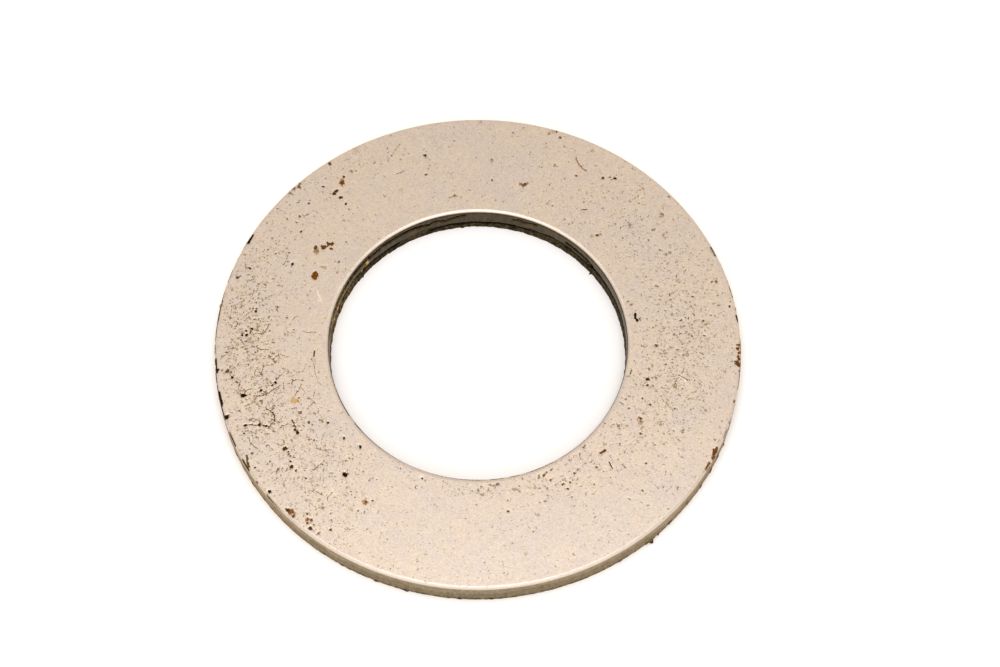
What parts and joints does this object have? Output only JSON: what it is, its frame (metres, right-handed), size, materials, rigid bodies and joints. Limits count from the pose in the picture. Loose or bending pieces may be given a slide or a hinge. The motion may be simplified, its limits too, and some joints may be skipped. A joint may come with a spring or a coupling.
{
  "type": "flat washer",
  "caption": "Plain round flat washer punched from bare sheet steel, spreading the load of a bolt head or nut and lightly rusted.",
  "frame": {"origin": "centre of the lower face, on the axis of the bolt hole", "axes": "+Z along the hole's axis, from the lower face to the upper face with the rounded edges"},
  "size_m": [0.037, 0.037, 0.002],
  "materials": {
    "steel": "bare punched steel, satin and slightly warm in tone, with fine pits, small rust spots and darker sheared walls"
  },
  "bodies": {
    "root": {"washer": "steel"}
  },
  "joints": []
}
